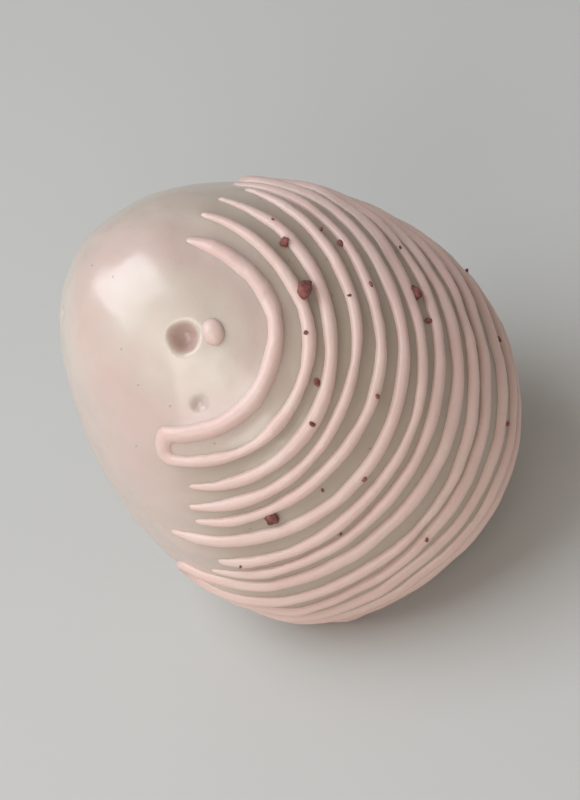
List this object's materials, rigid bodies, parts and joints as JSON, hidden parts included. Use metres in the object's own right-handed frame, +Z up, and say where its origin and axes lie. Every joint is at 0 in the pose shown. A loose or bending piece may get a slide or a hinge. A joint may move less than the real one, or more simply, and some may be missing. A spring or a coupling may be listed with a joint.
{
  "type": "chocolate coated strawberry",
  "caption": "Plump strawberry dipped whole in white chocolate, with fine pink chocolate drizzle on one side, standing on a small flat foot.",
  "frame": {"origin": "middle of the bounding box, at the height of the flat foot that the berry stands on", "axes": "+Z up from the foot, with the tip of the berry at the top; the tip leans to -X; the drizzled side faces -Y and a little to +X; millimetres in the source, metres in the row"},
  "size_m": [0.037, 0.0348, 0.0411],
  "materials": {
    "white_chocolate": "satin cream coat of white chocolate, faintly rosy, slightly translucent",
    "pink_chocolate": "satin dusty pink chocolate, in fine raised lines",
    "raspberry_crumb": "dull dark rose crumbs of dried raspberry"
  },
  "bodies": {
    "root": {"coated_strawberry": "white_chocolate"}
  },
  "joints": []
}
